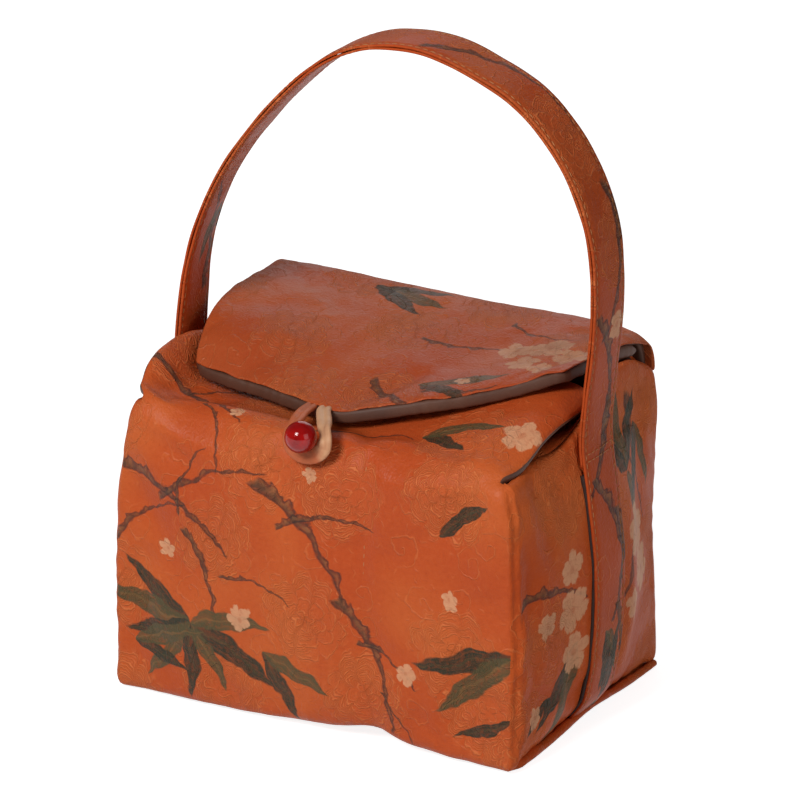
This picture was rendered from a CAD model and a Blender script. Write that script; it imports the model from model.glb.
# %% [markdown]
# # A padded storage bag for a tea set
# The bag is a soft box of orange satin with a pointed lid, an inner front flap, two dust flaps
# and one long strap. A red bead and a cloth loop keep the lid shut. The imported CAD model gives
# every size and every joint. This script puts the cloth over it.

# %% Load the frame
import math

import bmesh
import bpy
from mathutils import Matrix, Vector, noise


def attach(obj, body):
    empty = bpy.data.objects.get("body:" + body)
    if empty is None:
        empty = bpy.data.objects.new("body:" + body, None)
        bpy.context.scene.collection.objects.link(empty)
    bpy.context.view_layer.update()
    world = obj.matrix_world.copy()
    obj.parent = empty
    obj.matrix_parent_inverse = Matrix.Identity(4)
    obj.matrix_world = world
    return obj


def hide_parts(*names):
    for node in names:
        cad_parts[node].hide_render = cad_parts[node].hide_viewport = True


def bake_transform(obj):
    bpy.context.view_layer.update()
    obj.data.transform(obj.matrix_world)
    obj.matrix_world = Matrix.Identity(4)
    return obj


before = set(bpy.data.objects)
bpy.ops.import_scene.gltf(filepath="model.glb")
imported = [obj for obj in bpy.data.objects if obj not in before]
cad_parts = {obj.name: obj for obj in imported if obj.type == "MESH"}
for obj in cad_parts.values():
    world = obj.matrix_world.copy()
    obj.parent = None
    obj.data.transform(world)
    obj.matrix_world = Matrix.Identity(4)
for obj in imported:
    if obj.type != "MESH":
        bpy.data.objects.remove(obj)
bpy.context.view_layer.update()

# %% [markdown]
# ## Measures
# Cloth is easiest to think of in millimetres, so one name turns them into metres. The body sizes
# below are the ones that the CAD model was made with. A place on the wall is measured round the
# girth from the middle of the front, so the sides start and finish at a girth of their own.

# %% Body measures
MM = 0.001
HALF_WIDTH = 92 * MM
HALF_DEPTH = 65.5 * MM
CORNER = 3.6 * MM
FOLD_HEIGHT = 126.8 * MM
LID_FOLD_HEIGHT = 147.5 * MM
FRONT_FLAT = HALF_WIDTH - CORNER
SIDE_FLAT = HALF_DEPTH - CORNER
CORNER_RUN = CORNER * math.pi / 2
HALF_GIRTH = FRONT_FLAT + CORNER_RUN + SIDE_FLAT + SIDE_FLAT + CORNER_RUN + FRONT_FLAT
SIDE_START = FRONT_FLAT + CORNER_RUN
SIDE_FINISH = FRONT_FLAT + CORNER_RUN + 2 * SIDE_FLAT
WALL_CLOTH, FLAP_CLOTH = 122 * MM, 72 * MM
WALL_PADDING, LID_PADDING, FLOOR_PADDING = 4.8 * MM, 3.4 * MM, 4.4 * MM
COVER_CLOTH, UNDER_CLOTH, DUST_CLOTH = 0.9 * MM, 1.2 * MM, 2.4 * MM
UP = Vector((0, 0, 1))
print("girth of the bag in mm:", round(2 * HALF_GIRTH / MM))

# %% [markdown]
# ## Small helpers for soft shapes
# Cloth has no corners in its curves, so values are read from short lists with a smooth spline,
# and folds are hills and valleys added to a surface.

# %% Helpers
def limit(value, low=0, high=1):
    """The value, kept between a low and a high one."""
    return min(max(value, low), high)


def ease(value):
    """0 below 0, 1 above 1, and a soft ramp between."""
    held = limit(value)
    return held * held * (3 - 2 * held)


def hill(distance, reach):
    """1 at no distance, fading to 0 at about twice the reach."""
    return math.exp(-(distance / reach) ** 2)


def spline(places, values, place):
    """Smooth value at a place between listed places."""
    last = len(places) - 1
    step = 0
    while step < last - 1 and place > places[step + 1]:
        step += 1
    before, after = max(step - 1, 0), min(step + 2, last)
    run = places[step + 1] - places[step]
    t = (place - places[step]) / run
    first, second = values[step], values[step + 1]
    slope_in = (second - values[before]) * run / (places[step + 1] - places[before])
    slope_out = (values[after] - first) * run / (places[after] - places[step])
    return (first * (2 * t ** 3 - 3 * t ** 2 + 1) + second * (3 * t ** 2 - 2 * t ** 3)
            + slope_in * (t ** 3 - 2 * t ** 2 + t) + slope_out * (t ** 3 - t ** 2))


def table_value(rows, columns, table, row, column):
    """Smooth value of a table between its rows and columns."""
    return spline(rows, [spline(columns, line, column) for line in table], row)


def path_point(places, points, place):
    """Smooth point of a path at a place between listed places."""
    return Vector([spline(places, [point[axis] for point in points], place) for axis in range(3)])


def ripple(point, size, seed):
    """Gentle random height at a point, from -1 to 1."""
    return noise.noise(point / size + Vector((seed, seed * 0.7, -seed)))


def crease(place, start, finish, width):
    """How close a place on the flat cloth is to a fold line, 1 on it and 0 away."""
    line = finish - start
    share = limit((place - start).dot(line) / line.length_squared)
    gap = (place - start - line * share).length
    return hill(gap, width) * math.sin(math.pi * limit(share, 0.04, 0.96)) ** 0.5


def squared(value, power):
    """A sine or cosine made flatter or fuller, for sections between a circle and a square."""
    return math.copysign(abs(value) ** power, value)


def folds(*rows):
    """Fold lines from rows of millimetres: start x and y, end x and y, width, and height."""
    return [(Vector(row[:2]), Vector(row[2:4]), *row[4:]) for row in rows]


def fold_up(rise, place, lines, unit=1):
    """A rise with all fold lines added to it; a line's height may be below nothing."""
    for start, finish, width, height in lines:
        rise += height * unit * crease(place, start, finish, width)
    return rise


# %% [markdown]
# ## Cloth from a grid
# Each panel of cloth starts as a flat grid. Its vertices are carried to their place in space, and
# the flat measures of the cloth are kept as the UV map, so a woven pattern follows every fold.
# Solidify gives the panel its padding, and one round of subdivision makes the folds soft.

# %% Cloth helpers
def cloth_grid(work, columns, rows, place, flat, turned=False, slot=0):
    """A sheet of quads carried to its place; a turned one faces the other way."""
    layer = work.loops.layers.uv.get("cloth") or work.loops.layers.uv.new("cloth")
    grown = bmesh.ops.create_grid(work, x_segments=columns, y_segments=rows, size=0.5)
    faces = list({face for vertex in grown["verts"] for face in vertex.link_faces})
    for face in faces:
        for loop in face.loops:
            loop[layer].uv = flat(loop.vert.co.x + 0.5, loop.vert.co.y + 0.5)
    for vertex in grown["verts"]:
        vertex.co = place(vertex.co.x + 0.5, vertex.co.y + 0.5)
    if turned:
        bmesh.ops.reverse_faces(work, faces=faces)
    for face in faces:
        face.normal_update()
        face.material_index = slot


def bake_modifiers(piece):
    """Turn the modifiers of a piece into its mesh."""
    graph = bpy.context.evaluated_depsgraph_get()
    baked = bpy.data.meshes.new_from_object(piece.evaluated_get(graph))
    piece.modifiers.clear()
    piece.data = baked


def soften(piece, rounds):
    """Subdivide a piece."""
    smooth = piece.modifiers.new("soften", "SUBSURF")
    smooth.levels = smooth.render_levels = rounds
    bake_modifiers(piece)


def finish_piece(name, work, materials, thickness=0, lined=False, rounds=0):
    """Turn a bmesh into a smooth shaded piece; thickness pads it inward, rounds subdivide it."""
    mesh = bpy.data.meshes.new(name)
    work.to_mesh(mesh)
    work.free()
    for material in materials:
        mesh.materials.append(material)
    piece = bpy.data.objects.new(name, mesh)
    bpy.context.scene.collection.objects.link(piece)
    if thickness:
        padding = piece.modifiers.new("padding", "SOLIDIFY")
        padding.thickness = thickness
        padding.offset = -1
        padding.material_offset = padding.material_offset_rim = 1 if lined else 0
    if rounds:
        soften(piece, rounds)
    elif piece.modifiers:
        bake_modifiers(piece)
    for polygon in piece.data.polygons:
        polygon.use_smooth = True
    size = [round(side / MM, 1) for side in piece.dimensions]
    print(name, "is", size, "mm with", len(piece.data.polygons), "faces")
    return piece


def close_tube(work, gap, capped=True):
    """Sew a sheet to a tube where its edges meet, and close its ends."""
    bmesh.ops.remove_doubles(work, verts=work.verts, dist=gap)
    if capped:
        bmesh.ops.holes_fill(work, edges=[edge for edge in work.edges if edge.is_boundary])
    bmesh.ops.recalc_face_normals(work, faces=work.faces)


def join_pieces(name, pieces):
    """One piece out of several that have the same materials."""
    work = bmesh.new()
    for piece in pieces:
        work.from_mesh(piece.data)
    materials = list(pieces[0].data.materials)
    for piece in pieces:
        bpy.data.objects.remove(piece)
    return finish_piece(name, work, materials)


# %% [markdown]
# ## Shader sums
# Materials are written as sums. One small class wraps a socket, so that a sum on two of them adds
# the Math node for it, and any other node comes from one method.

# %% Socket wrapper
class Wire:
    """A socket of a material that can be used in sums."""

    def __init__(self, tree, socket=None):
        self.tree = tree
        self.socket = socket

    def node(self, kind, settings=None, values=None, output=0):
        """Add a node: its settings first, then the values or links of its sockets."""
        made = self.tree.nodes.new(kind)
        for key, value in (settings or {}).items():
            setattr(made, key, value)
        for key, value in (values or {}).items():
            if isinstance(value, Wire):
                self.tree.links.new(value.socket, made.inputs[key])
            else:
                made.inputs[key].default_value = value
        return Wire(self.tree, made.outputs[output])

    def other(self, output):
        """Another output of the same node."""
        return Wire(self.tree, self.socket.node.outputs[output])

    def math(self, operation, second=0, first=None, clamp=False):
        """Math node on this value, or on a given first one, and a second."""
        return self.node("ShaderNodeMath", {"operation": operation, "use_clamp": clamp},
                         {0: self if first is None else first, 1: second})

    def __add__(self, other):
        return self.math("ADD", other)

    def __sub__(self, other):
        return self.math("SUBTRACT", other)

    def __rsub__(self, other):
        return self.math("SUBTRACT", self, other)

    def __mul__(self, other):
        return self.math("MULTIPLY", other)

    def __pow__(self, other):
        return self.math("POWER", other)

    def __abs__(self):
        return self.math("ABSOLUTE")

    __radd__ = __add__
    __rmul__ = __mul__

    def held(self):
        """The value kept between 0 and 1."""
        return self.math("ADD", clamp=True)

    def sharp(self, strength):
        """0 at or below nothing, rising to 1 with the given strength."""
        return self.math("MULTIPLY", strength, clamp=True)

    def vectors(self, operation, *values):
        """Vector Math node on vectors."""
        return self.node("ShaderNodeVectorMath", {"operation": operation}, dict(enumerate(values)))

    def clouds(self, scale, detail=2.0, roughness=0.5, solid=False, output=0):
        """Noise on this vector, flat as on cloth or solid as in stone."""
        return self.node("ShaderNodeTexNoise", {"noise_dimensions": "3D" if solid else "2D"},
                         {"Vector": self, "Scale": scale, "Detail": detail, "Roughness": roughness},
                         output)

    def bump(self, strength, distance):
        """Normal of a surface that this value raises."""
        return self.node("ShaderNodeBump", None,
                         {"Strength": strength, "Distance": distance, "Height": self})


def mix_colour(factor, first, second):
    """Colour between two others."""
    return factor.node("ShaderNodeMix", {"data_type": "RGBA"},
                       {0: factor, 6: first, 7: second}, 2)


def colour(red, green, blue):
    """Linear colour for a screen colour from 0 to 255."""
    parts = [value / 255 for value in (red, green, blue)]
    return tuple(part / 12.92 if part < 0.04045 else ((part + 0.055) / 1.055) ** 2.4
                 for part in parts) + (1.0,)


def start_material(name):
    """A fresh material; returns it with its shader and a wire to build on."""
    material = bpy.data.materials.new(name)
    material.use_nodes = True
    tree = material.node_tree
    return material, tree.nodes["Principled BSDF"], Wire(tree)


def join_shader(wire, shader, **values):
    """Link finished wires to the shader's sockets, or set a number there."""
    for name, value in values.items():
        socket = shader.inputs[name.replace("_", " ")]
        if isinstance(value, Wire):
            wire.tree.links.new(value.socket, socket)
        else:
            socket.default_value = value


# %% [markdown]
# ## Letting the cloth settle
# Padded satin swells between its seams and makes small folds there, because it is cut a little
# larger than the shape it covers. Blender's cloth does this: the seams are pinned, a light
# pressure fills the pad, the cloth grows by a few percent, and no point may move further than the
# given limit.

# %% Cloth simulation
def settle_cloth(piece, hold, growth, most, pressure=1.5, steps=14):
    """Simulate a pad as cloth; hold gives how firmly a place is pinned, from 0 to 1."""
    scene = bpy.context.scene
    before = [vertex.co.copy() for vertex in piece.data.vertices]
    seams = piece.vertex_groups.new(name="seams")
    for vertex in piece.data.vertices:
        seams.add([vertex.index], hold(vertex.co), "REPLACE")
    settle = piece.modifiers.new("settle", "CLOTH")
    cloth = settle.settings
    cloth.quality = 4
    cloth.mass = 0.15
    cloth.tension_stiffness = cloth.compression_stiffness = 12
    cloth.shear_stiffness = 6
    cloth.bending_stiffness = 0.6
    cloth.air_damping = 2
    cloth.vertex_group_mass = "seams"
    cloth.use_pressure = True
    cloth.uniform_pressure_force = pressure
    cloth.shrink_min = -growth
    cloth.effector_weights.gravity = 0
    settle.collision_settings.use_collision = False
    for moment in range(1, steps + 1):
        scene.frame_set(moment)
    graph = bpy.context.evaluated_depsgraph_get()
    after = bpy.data.meshes.new_from_object(piece.evaluated_get(graph))
    furthest = 0
    for vertex, start, moved in zip(piece.data.vertices, before, after.vertices):
        move = moved.co - start
        furthest = max(furthest, move.length)
        vertex.co = start + move * (most / (most + move.length))
    piece.modifiers.clear()
    piece.vertex_groups.clear()
    scene.frame_set(1)
    print(piece.name, "settled by up to", round(furthest / MM, 1), "mm")


# %% [markdown]
# ## Printed motifs
# The satin is printed with leaves, twigs and blossoms. Each motif is a small sum on the flat
# cloth measures: a leaf is the part of a strip that is nearer its middle line than its own half
# width. Every kind of motif is one node group that lays its paint over the colour below it, so
# the print is a chain of such groups. They are plain lance leaves, thin twigs and five-petalled
# flowers.

# %% Motif groups
def make_group(name, inputs, outputs, draw):
    """A reusable node group; draw gets its input wires and gives back its output wires."""
    tree = bpy.data.node_groups.new(name, "ShaderNodeTree")
    for title, kind in inputs:
        tree.interface.new_socket(title, in_out="INPUT", socket_type="NodeSocket" + kind)
    for title, kind in outputs:
        tree.interface.new_socket(title, in_out="OUTPUT", socket_type="NodeSocket" + kind)
    entry, end = tree.nodes.new("NodeGroupInput"), tree.nodes.new("NodeGroupOutput")
    made = draw(*[Wire(tree, socket) for socket in list(entry.outputs)[:len(inputs)]])
    for wire, socket in zip(made, end.inputs):
        tree.links.new(wire.socket, socket)
    return tree


MOTIF_INPUTS = ([(title, "Vector") for title in ("Cloth", "Place", "Turn", "Size")]
                + [(title, "Float") for title in ("Form", "Worn")]
                + [(title, "Color") for title in ("Below", "Paint", "Line")])


def split(vector):
    """The x and the y of a vector."""
    x = vector.node("ShaderNodeSeparateXYZ", None, {0: vector})
    return x, x.other("Y")


def local_place(cloth, place, turn, size):
    """Cloth measures seen from a motif: x along it and y across, in shares of its size."""
    seen = cloth.node("ShaderNodeMapping", {"vector_type": "TEXTURE"},
                      {"Vector": cloth, "Location": place, "Rotation": turn, "Scale": size})
    return seen, *split(seen)


def draw_leaf(cloth, place, turn, size, form, worn, below, paint, line):
    """A lance leaf with brush streaks and a lighter middle vein."""
    seen, x, y = local_place(cloth, place, turn, size)
    streaks = cloth.node("ShaderNodeMapping", None, {"Vector": seen, "Scale": (3, 46, 1)})
    brush = streaks.clouds(1.0)
    inside = x.held()
    bent = y - inside * (1 - inside) * 0.16
    half = (inside ** 0.7) * (1 - inside) * form
    across = abs(bent)
    mask = (half - across + (brush - 0.5) * 0.012).sharp(60)
    dry = ((brush * 2.4 - 0.4).held() * 0.22 + 0.80) * (worn * 0.24 + 0.84).held()
    shade = mix_colour(mask * dry.held(), below, paint)
    vein = (half * 0.10 + 0.004 - across).sharp(160) * mask
    return [mix_colour(vein * 0.40, shade, line)]


def draw_twig(cloth, place, turn, size, form, worn, below, paint, line):
    """A knotty twig: dark broken outlines round a lighter core."""
    seen, x, y = local_place(cloth, place, turn, size)
    knots = seen.clouds(9.0, 3.0)
    rest = 1 - x
    inside = (x * rest * 40).held()
    half = (rest * 0.6 + 0.4) * form * (knots * 1.5 + 0.3)
    path = x * rest * 0.45 + (knots - 0.5) * 0.05
    gap = half - abs(y - path)
    body = gap.sharp(90) * inside
    core = (gap - form * 0.34).sharp(60)
    shade = mix_colour(body * core * 0.78, below, line)
    bark = (knots * 3.2 - 1.1).held()
    return [mix_colour(body * (1 - core * bark * 0.85) * (worn * 0.3 + 0.66).held(), shade, paint)]


def draw_blossom(cloth, place, turn, size, form, worn, below, paint, line):
    """A flower of five round petals, darker between them and at its heart."""
    seen, x, y = local_place(cloth, place, turn, size)
    reach = (x * x + y * y) ** 0.5
    fifth = y.math("ARCTAN2", x) * 2.5
    lobe = abs(fifth.math("COSINE"))
    outline = (lobe ** 0.55) * 0.40 + 0.60
    petals = (outline - reach + (worn - 0.5) * 0.16).sharp(9)
    shade = mix_colour(petals * (worn * 0.22 + 0.74).held(), below, paint)
    veins = (0.20 - lobe).sharp(4) * reach + (0.22 - reach).sharp(6) + (1 - reach).held() * 0.30
    return [mix_colour(petals * veins.held() * 0.50, shade, line)]


LEAF, TWIG, BLOSSOM = [
    make_group(title, MOTIF_INPUTS, [("Shade", "Color")], draw)
    for title, draw in (("lance_leaf", draw_leaf), ("knotty_twig", draw_twig),
                        ("five_petals", draw_blossom))]
print("motif groups:", [group.name for group in (LEAF, TWIG, BLOSSOM)])

# %% [markdown]
# ## Woven ground
# Under the print the satin has a tone-on-tone weave: round flowers with rows of scalloped petals,
# and curled scrolls between them. Cells of a Voronoi texture carry one flower or one curl each.

# %% Woven pattern
FLOWERS_PER_METRE, CURLS_PER_METRE, RINGS_PER_METRE = 20.5, 46.0, 215
FLOWER_REACH, CURL_REACH, SPRIG_REACH, DRIFT_REACH = 0.0178, 0.0085, 0.012, 0.0095
TURN_SHARE = 0.15915  # share of a full turn in one radian


def polar_cell(cloth, scale, shuffle):
    """Distance and angle from the middle of the nearest cell, and a number of its own."""
    cells = cloth.node("ShaderNodeTexVoronoi", {"voronoi_dimensions": "2D"},
                       {"Vector": cloth, "Scale": scale, "Randomness": shuffle})
    x, y = split(cloth.vectors("SUBTRACT", cloth, cells.other("Position")))
    own = cloth.node("ShaderNodeSeparateColor", None, {0: cells.other("Color")})
    return (x * x + y * y) ** 0.5, y.math("ARCTAN2", x), own


def draw_weave(cloth):
    """Thin woven lines, and the flower areas with a hatched weave."""
    drift = cloth.clouds(62.0, 3.0, 0.62, output=1)
    shaken = drift.vectors("MULTIPLY", drift, (DRIFT_REACH, DRIFT_REACH, DRIFT_REACH))
    moved = cloth.vectors("ADD", cloth, shaken)
    reach, angle, own = polar_cell(moved, FLOWERS_PER_METRE, 0.75)
    rings = reach * RINGS_PER_METRE
    ring = rings.math("FLOOR")
    sweep = angle * (ring + 2.0) + own * 6 + ring * 1.7
    scallop = abs(sweep.math("SINE")) ** 0.6
    flower = (FLOWER_REACH - reach + (scallop - 0.5) * 0.007).sharp(700)
    arc = rings - ring - 0.20 - scallop * 0.70
    petals = (0.11 - abs(arc)).sharp(11) * flower
    feather = arc * 4
    strokes = (abs(feather.math("FRACT") - 0.5) - 0.24).sharp(7) * flower
    strokes = strokes * (split(drift)[0] * 4 - 1.4).held()
    curl_reach, curl_angle, curl_own = polar_cell(moved, CURLS_PER_METRE, 0.9)
    turns = curl_angle * TURN_SHARE + curl_reach * 190 + curl_own
    line = (0.085 - abs(turns.math("FRACT") - 0.5)).sharp(14)
    curls = line * (CURL_REACH - curl_reach).sharp(700) * (1 - flower)
    fan = curl_angle * 3 + curl_own * 9
    sprig = (0.16 - abs(fan.math("SINE"))).sharp(8) * (curl_reach - CURL_REACH).sharp(900)
    curls = curls + sprig * (SPRIG_REACH - curl_reach).sharp(700) * (1 - flower) * 0.7
    return [(petals * 0.6 + strokes * 0.9 + curls * 0.55).held(), flower]


WEAVE = make_group("woven_figures", [("Cloth", "Vector")],
                   [("Lines", "Float"), ("Flower", "Float")], draw_weave)
print("nodes in the weave:", len(WEAVE.nodes))

# %% [markdown]
# ## The satin
# The ground is a rusty orange that drifts between redder and more golden places. Leaves are grey
# green, twigs a soft blue brown, and blossoms pale peach. Woven lines are a little lighter and
# rougher than the smooth satin round them, and they stand up slightly.

# %% Satin material
ORANGE = colour(200, 90, 40)
DEEP_ORANGE = colour(190, 78, 34)
GOLD_ORANGE = colour(206, 102, 50)
LINE_ORANGE = colour(226, 126, 72)
SHADOW_ORANGE = colour(164, 62, 28)
DULL_BROWN = colour(104, 62, 46)
INK = colour(50, 40, 38)
PAINTS = {
    "leaf": (LEAF, colour(84, 76, 50), colour(146, 104, 62)),
    "dark_leaf": (LEAF, colour(44, 50, 38), colour(96, 78, 50)),
    "twig": (TWIG, INK, colour(146, 98, 62)),
    "flower": (BLOSSOM, colour(222, 164, 124), colour(186, 98, 60)),
}


def satin(name, motifs, ground=ORANGE, specular=0.16, dull=0.0):
    """Printed satin; each motif gives its kind, x and y, turn, size and form."""
    material, shader, wire = start_material(name)
    cloth = wire.node("ShaderNodeUVMap", {"uv_map": "cloth"})
    patch, fine = cloth.clouds(15.0), cloth.clouds(460.0, 3.0)
    shade = mix_colour((patch * 3.0 - 1.0).held(), DEEP_ORANGE, ground)
    shade = mix_colour((patch * 3.4 - 1.75).held() * 0.75, shade, GOLD_ORANGE)
    woven = wire.node("ShaderNodeGroup", {"node_tree": WEAVE}, {0: cloth})
    flower = woven.other("Flower")
    shade = mix_colour(flower * 0.10, shade, LINE_ORANGE)
    shade = mix_colour(woven * 0.62, shade, LINE_ORANGE)
    drift = cloth.clouds(95.0, output=1)
    shift = cloth.vectors("MULTIPLY_ADD", drift, (0.005, 0.005, 0), (-0.0025, -0.0025, 0))
    drawn = cloth.vectors("ADD", cloth, shift)
    worn = (fine * 2.0 - 0.5).held()
    for kind, x, y, turn, size, form in motifs:
        group, paint, line = PAINTS[kind]
        shade = wire.node("ShaderNodeGroup", {"node_tree": group}, {
            "Cloth": drawn, "Place": (x * MM, y * MM, 0), "Turn": (0, 0, math.radians(turn)),
            "Size": (size * MM, size * MM, 1), "Form": form, "Worn": worn, "Below": shade,
            "Paint": paint, "Line": line})
    shade = mix_colour((fine - 0.5).sharp(1.2) * 0.26, shade, LINE_ORANGE)
    shade = mix_colour((0.47 - fine).sharp(1.6) * 0.42, shade, SHADOW_ORANGE)
    shade = mix_colour((fine - 0.5) * 0.1 + dull, shade, DULL_BROWN)
    gloss = 0.40 + woven * 0.12 + flower * 0.05 + (patch - 0.5) * 0.10 + (fine - 0.5) * 0.10
    height = woven * 0.8 + cloth.clouds(1100.0, 1.0) * 0.35 + fine * 0.4
    join_shader(wire, shader, Base_Color=shade, Roughness=gloss, Normal=height.bump(0.7, 0.0007),
                Specular_IOR_Level=specular)
    return material


# %% Layout of the print
# Places are millimetres on the flat cloth: round the girth from the middle of the front, and up.
# A motif's form is how broad it is, as a share of its length.
LEAF_BREADTH, TWIG_BREADTH = 0.36, 1.45


def fan(x, y, size, *turns):
    """Leaves that spread from one place at the given turns, dark and light alternately."""
    return [(("dark_leaf", "leaf")[number % 2], x, y, turn, size * (1 + 0.16 * math.sin(turn)),
             LEAF_BREADTH) for number, turn in enumerate(turns)]


def twigs(*rows):
    """Twigs from rows of x, y, turn, length and form."""
    return [("twig", *row[:4], row[4] * TWIG_BREADTH) for row in rows]


def flowers(*rows):
    """Blossoms from rows of x, y, turn and radius."""
    return [("flower", *row, 1) for row in rows]


FRONT_PRINT = [
    *twigs((-96, 96, -24, 66, 0.028), (-58, 78, -70, 46, 0.030), (-70, 86, 22, 56, 0.022),
           (-24, 104, -48, 62, 0.032), (14, 60, -66, 62, 0.030), (-14, 86, 6, 46, 0.026),
           (-60, 82, 70, 34, 0.022), (24, 40, -22, 30, 0.026), (-92, 62, 34, 44, 0.022),
           (34, 22, -58, 26, 0.022), (-40, 60, -12, 36, 0.020)),
    *fan(-54, 38, 41, -30, 6, 148, 172, 200, 232, 268, 300), *fan(-82, 22, 34, -14, 20),
    *fan(92, 52, 40, 196, 222), *fan(92, 24, 34, 206), *fan(-20, 30, 30, -62, -24),
    *fan(60, 96, 26, 34),
    *flowers((-66, 66, 20, 4.5), (-30, 44, 40, 6), (46, 34, 10, 5), (2, 110, 50, 3.5),
             (66, 70, 10, 4)),
]
SIDE_PRINT = [
    *twigs((96, 70, -16, 46, 0.030), (128, 30, -120, 40, 0.020), (190, 112, -104, 80, 0.026),
           (174, 96, -50, 46, 0.022)),
    *fan(136, 40, 42, 226, 246), *fan(182, 84, 34, 60, 96, 130, -70), *fan(196, 100, 32, -110, -70),
    *fan(100, 12, 26, 30),
    *flowers((112, 56, 30, 6.5), (130, 74, 10, 8), (131, 56, 50, 10.5), (134, 36, 20, 9.5),
             (190, 60, 20, 11), (197, 44, 60, 10), (183, 34, 10, 7), (106, 18, 40, 5)),
]
LEFT_PRINT = [
    *twigs((-190, 112, -80, 84, 0.026)),
    *fan(-124, 70, 36, 200, 236, 270),
    *flowers((-186, 52, 20, 11), (-196, 36, 50, 8), (-118, 40, 10, 8)),
    *twigs((-120, 108, -60, 46, 0.024)),
    *fan(-198, 24, 34, 20, 60),
]
BACK_PRINT = [
    *twigs((-290, 20, 52, 96, 0.026), (296, 112, -130, 96, 0.026)),
    *fan(-252, 62, 38, 10, 50, 90, 200), *fan(250, 62, 38, 20, 64, 120, 240),
    *flowers((-284, 84, 20, 10), (-268, 90, 50, 7), (262, 36, 20, 10), (250, 24, 60, 7)),
    *twigs((-240, 20, 80, 46, 0.024)),
]
LID_PRINT = [
    *fan(-34, 18, 42, -8, 12, 30),
    *twigs((4, 92, 26, 56, 0.030), (30, 100, -20, 34, 0.026)),
    *fan(26, 94, 34, 12, -24),
    *twigs((6, 56, -14, 52, 0.018), (36, 30, 8, 36, 0.022)),
    *flowers((50, 52, 20, 9), (64, 48, 50, 11), (78, 56, 10, 9), (60, 66, 40, 8), (72, 70, 20, 6),
             (44, 88, 10, 3.5)),
]
FLAP_PRINT = [
    *twigs((-90, 150, -24, 60, 0.026), (-58, 138, -66, 40, 0.022), (-70, 146, 40, 34, 0.02)),
    *fan(40, 146, 30, -20, 14),
    *flowers((80, 152, 20, 8), (-40, 134, 20, 4)),
    *twigs((-6, 128, 20, 46, 0.022)),
]
STRAP_PRINT = [
    *twigs((150, 6, -14, 60, 0.030)),
    *fan(190, 8, 34, 150, 200),
    *twigs((330, -10, 16, 70, 0.02), (420, 8, -12, 66, 0.030), (470, -10, 14, 60, 0.034),
           (508, 6, -24, 44, 0.05), (540, -8, 20, 52, 0.04), (556, 9, -10, 50, 0.04),
           (596, 4, 6, 60, 0.03)),
    *fan(606, -4, 32, 4, 30), *fan(640, 2, 34, -20, 14, 170), *fan(672, -4, 32, 8, -30, 160),
    *flowers((478, 6, 20, 7)),
    *fan(60, 2, 36, 10, 170),
]

FRONT_SATIN = satin("front_satin", FRONT_PRINT + FLAP_PRINT)
RIGHT_SATIN = satin("right_satin", SIDE_PRINT, ORANGE, 0.05)
LEFT_SATIN = satin("left_satin", LEFT_PRINT)
BACK_SATIN = satin("back_satin", BACK_PRINT)
LID_SATIN = satin("lid_satin", LID_PRINT, dull=0.24)
STRAP_SATIN = satin("strap_satin", STRAP_PRINT, colour(172, 72, 34), 0.05)
print("printed satins:", len([name for name in bpy.data.materials.keys() if "satin" in name]))

# %% [markdown]
# ## Lining, thread and bead
# The lining is a plain brown satin. The thread is twisted and pale gold. The bead is polished red
# stone with soft clouds in it.

# %% Plain materials
def plain_satin(name, ground, shade, roughness):
    """Plain woven cloth with a slight change of tone."""
    material, shader, wire = start_material(name)
    place = wire.node("ShaderNodeTexCoord", None, None, "Object")
    patch = place.clouds(60.0, 3.0, solid=True)
    grain = place.clouds(1500.0, 1.0, solid=True)
    tone = mix_colour((patch * 2 - 0.5).held(), shade, ground)
    join_shader(wire, shader, Base_Color=tone, Roughness=roughness + (patch - 0.5) * 0.15,
                Normal=grain.bump(0.3, 0.0003))
    return material


LINING_SATIN = plain_satin("lining_satin", colour(98, 61, 43), colour(76, 45, 32), 0.62)
THREAD = plain_satin("thread", colour(194, 130, 80), colour(168, 104, 60), 0.7)
TAIL_SHADE = plain_satin("tail_shade", colour(52, 28, 18), colour(38, 22, 15), 0.8)
LOOP_TURNS_ORANGE = 23.5 * MM


def loop_cloth(name):
    """Cloth of the loop, cut across the print: beige at one end and orange after the bend."""
    material, shader, wire = start_material(name)
    place = wire.node("ShaderNodeUVMap", {"uv_map": "cloth"})
    along = split(place)[1]
    patch = place.clouds(260.0)
    orange = ((along + (patch - 0.5) * 0.004 - LOOP_TURNS_ORANGE) * 260).held()
    tone = mix_colour(orange, colour(214, 164, 124), colour(196, 104, 66))
    tone = mix_colour((patch * 2 - 0.6).held() * 0.5, tone, colour(168, 92, 58))
    join_shader(wire, shader, Base_Color=tone, Roughness=0.5 + (patch - 0.5) * 0.2,
                Normal=patch.bump(0.4, 0.0004), Specular_IOR_Level=0.2)
    return material


def polished_stone(name):
    """Glossy red bead."""
    material, shader, wire = start_material(name)
    place = wire.node("ShaderNodeTexCoord", None, None, "Object")
    cloud = place.clouds(160.0, solid=True)
    tone = mix_colour((cloud * 2 - 0.5).held(), colour(128, 3, 4), colour(178, 12, 9))
    join_shader(wire, shader, Base_Color=tone, Roughness=0.06 + cloud * 0.08,
                Specular_IOR_Level=0.4)
    return material


LOOP_CLOTH, BEAD_RED = loop_cloth("loop_cloth"), polished_stone("bead_red")
print("materials made:", len(bpy.data.materials))

# %% [markdown]
# ## The walls
# The real body is a padded tube of satin with a brown lining, sewn to a stiff base, and its front
# goes on over the fold as the front flap. So walls and front flap settle as one cloth here too:
# one grid round the girth and one over the fold, merged where they meet. The settled cloth is
# then cut at the front fold, because the walls stay with the bag when the flap turns. The sides
# swell, the upper front corners are drawn in, and a line of quilting lifts the base a little.

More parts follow.
